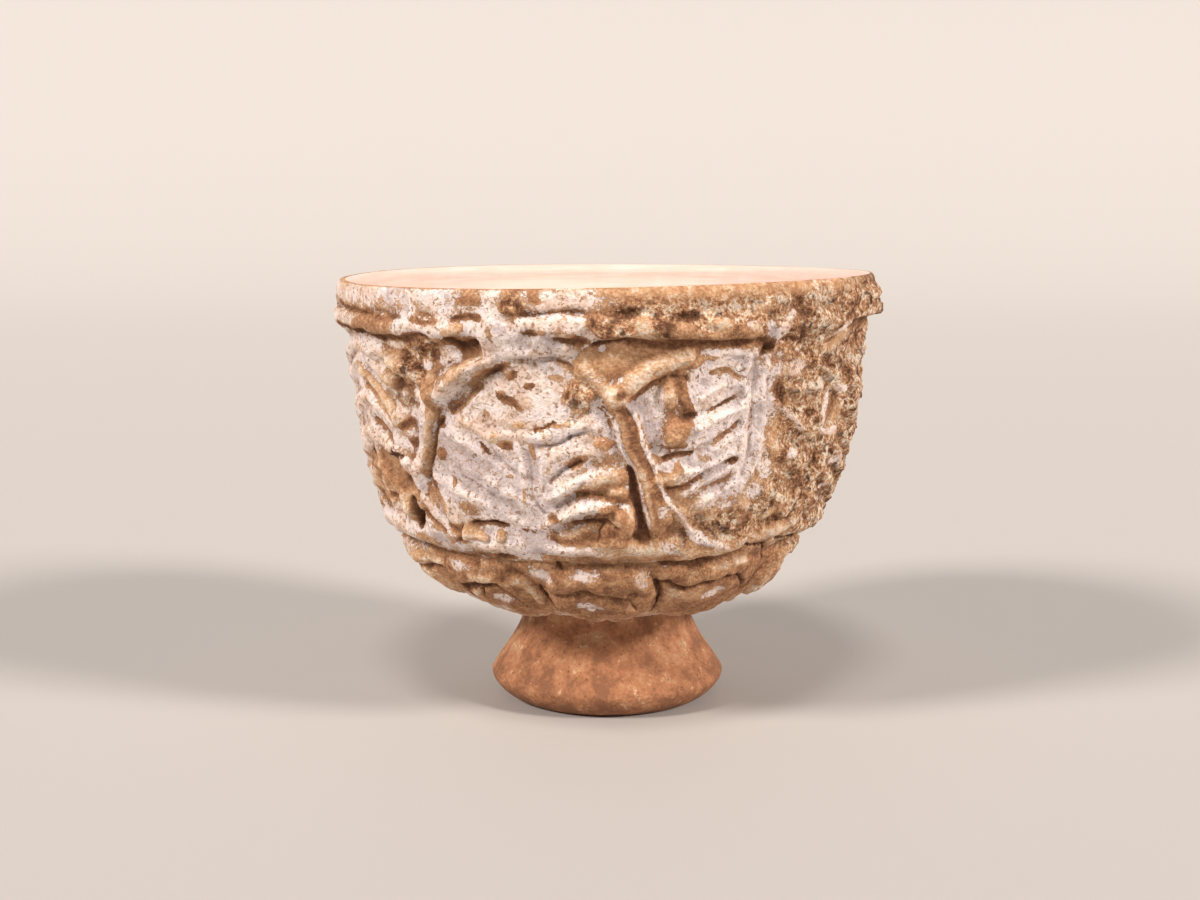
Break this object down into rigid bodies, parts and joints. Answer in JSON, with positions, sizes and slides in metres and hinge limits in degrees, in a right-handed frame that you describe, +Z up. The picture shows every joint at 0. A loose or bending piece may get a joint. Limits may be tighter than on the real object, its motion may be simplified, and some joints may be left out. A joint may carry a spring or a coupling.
{
  "type": "carved pottery cup",
  "caption": "Deep footed pottery cup with a moulded arcade of leaf panels and a ring of petals in relief, a plain rim with a raised cordon and a flared foot, weathered.",
  "frame": {"origin": "on the surface that the cup stands on, under the middle of the cup", "axes": "+Z up through the cup's middle, -Y the side that the picture shows, +X to that side's right"},
  "size_m": [0.1186, 0.1185, 0.0943],
  "materials": {
    "weathered_glaze": "matt: cream-white glaze weathered to chalk, with brown burial crust, over orange-buff clay that is bare on the foot"
  },
  "bodies": {
    "root": {"cup": "weathered_glaze"}
  },
  "joints": []
}
